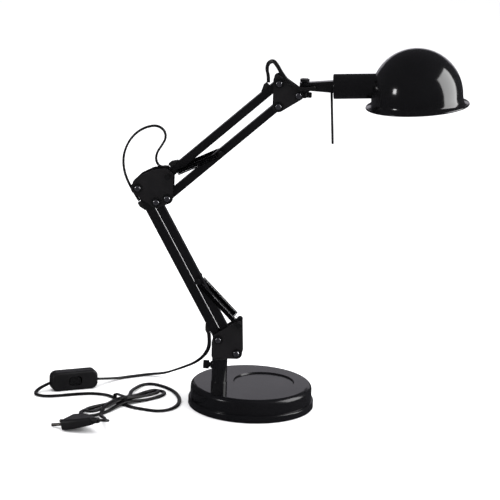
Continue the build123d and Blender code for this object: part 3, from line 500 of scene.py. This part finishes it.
def spring_line(first, second, long_hook, side):
    """A tension spring's wire, from a hook round the first pin to a hook round the second."""
    start, end = (Vector((x, ARM_Y + side * SPRING_Y, z)) for x, z in (first, second))
    axis = (end - start).normalized()
    span = (end - start).length
    across = Vector((0, 1, 0)).cross(axis)
    eye = PIN_RADIUS + SPRING_WIRE
    coil = span - HOOK - long_hook
    turns = round(coil / SPRING_PITCH)

    def hook(pin, towards):
        """The open loop round a pin, towards the coils."""
        turns_of_loop = [math.radians(HOOK_START + HOOK_STEP * k) for k in range(HOOK_POINTS)]
        return [pin + (towards * math.cos(a) + across * math.sin(a)) * eye for a in turns_of_loop]

    line = hook(start, axis)
    line.append(start + axis * (HOOK * 0.72) + across * (SPRING_RADIUS * 0.75))
    for k in range(turns * COIL_STEPS + 1):
        turn = math.tau * k / COIL_STEPS
        rim = across * math.cos(turn) + Vector((0, 1, 0)) * math.sin(turn)
        line.append(start + axis * (HOOK + coil * k / (turns * COIL_STEPS)) + rim * SPRING_RADIUS)
    neck = long_hook - eye
    line.append(end - axis * (neck * 0.8 + eye) + across * (SPRING_RADIUS * 0.6))
    line += reversed(hook(end, -axis))
    return [point * MM for point in line]


def spring_pair(name, node, pins):
    first, second, long_hook = pins
    for side, where in ((-1, "front"), (1, "back")):
        line = spring_line(first, second, long_hook, side)
        piece = dress(sweep(f"{name}_{where}", line, circle(SPRING_WIRE * MM, 6), up=(0, 1, 0)), SPRING_STEEL)
        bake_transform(piece)
        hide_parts(node)


spring_pair("lower_spring", "lower_springs", LOWER_SPRING)
spring_pair("upper_spring", "upper_springs", UPPER_SPRING)


# ---------------------------------------------------------------- floor, lights and camera

floor_paint = material(
    "floor_paint", (0.86, 0.86, 0.87), 0.7, grain=60, blotch=2, bump=0.05, tint=1.02, spread=0.03
)
FLOOR = 30.0
floor = mesh_piece(
    "floor", [(-FLOOR, -FLOOR, 0), (FLOOR, -FLOOR, 0), (FLOOR, FLOOR, 0), (-FLOOR, FLOOR, 0)], [(0, 1, 2, 3)]
)
dress(floor, floor_paint)
floor.visible_glossy = False

LAMP_MIDDLE = Vector((0.0, -0.05, 0.25))


def softbox(name, azimuth, elevation, distance, width, height, power, aim=LAMP_MIDDLE):
    """A soft rectangular light. Azimuth 0 is the camera's side and 90 is to the right."""
    turn, rise = math.radians(azimuth), math.radians(elevation)
    back = Vector((math.sin(turn) * math.cos(rise), -math.cos(turn) * math.cos(rise), math.sin(rise)))
    data = bpy.data.lights.new(name, "AREA")
    data.shape = "RECTANGLE"
    data.size, data.size_y, data.energy = width, height, power
    light = bpy.data.objects.new(name, data)
    bpy.context.collection.objects.link(light)
    light.location = aim + back * distance
    light.rotation_mode = "QUATERNION"
    light.rotation_quaternion = (-back).to_track_quat("-Z", "Y")
    return light


softbox("window_right", 92, 18, 1.6, 1.2, 1.5, 26)
softbox("lamp_left", -56, 14, 2.4, 0.35, 0.45, 6)
softbox("overhead", 10, 82, 2.6, 2.4, 2.4, 60).visible_glossy = False
backdrop_glow = softbox("backdrop_glow", 180, 10, 2.4, 2.2, 0.6, 2.2)
backdrop_glow.data.color = (0.95, 0.92, 1.0)
backdrop_glow.visible_camera = False

world = bpy.data.worlds.new("studio")
world.use_nodes = True
bpy.context.scene.world = world
tree = world.node_tree
backdrop = tree.nodes["Background"]
backdrop.inputs["Color"].default_value = (1, 1, 1, 1)
backdrop.inputs["Strength"].default_value = 1.15
dim = tree.nodes.new("ShaderNodeBackground")
dim.inputs["Color"].default_value = (0.9, 0.88, 1, 1)
dim.inputs["Strength"].default_value = 0.05
rays = tree.nodes.new("ShaderNodeLightPath")
mix = tree.nodes.new("ShaderNodeMixShader")
tree.links.new(rays.outputs["Is Glossy Ray"], mix.inputs["Fac"])
tree.links.new(backdrop.outputs["Background"], mix.inputs[1])
tree.links.new(dim.outputs["Background"], mix.inputs[2])
tree.links.new(mix.outputs["Shader"], tree.nodes["World Output"].inputs["Surface"])

CAMERA_PLACE = Vector((0.157, -2.9959, 1.0013))
CAMERA_TURN = math.radians(-3.15)
CAMERA_PITCH = math.radians(14.89)
CAMERA_ROLL = math.radians(2.10)

ahead = Vector((
    math.sin(CAMERA_TURN) * math.cos(CAMERA_PITCH),
    math.cos(CAMERA_TURN) * math.cos(CAMERA_PITCH),
    -math.sin(CAMERA_PITCH),
))
level = Vector((math.cos(CAMERA_TURN), -math.sin(CAMERA_TURN), 0))
above = level.cross(ahead)
right = level * math.cos(CAMERA_ROLL) + above * math.sin(CAMERA_ROLL)
top = above * math.cos(CAMERA_ROLL) - level * math.sin(CAMERA_ROLL)
lens = bpy.data.cameras.new("camera")
lens.sensor_width = 36
lens.lens = 177.2
lens.clip_end = 100
camera = bpy.data.objects.new("camera", lens)
bpy.context.collection.objects.link(camera)
camera.matrix_world = Matrix.Translation(CAMERA_PLACE) @ Matrix((right, top, -ahead)).transposed().to_4x4()
bpy.context.scene.camera = camera

bpy.context.scene.view_settings.view_transform = "Standard"
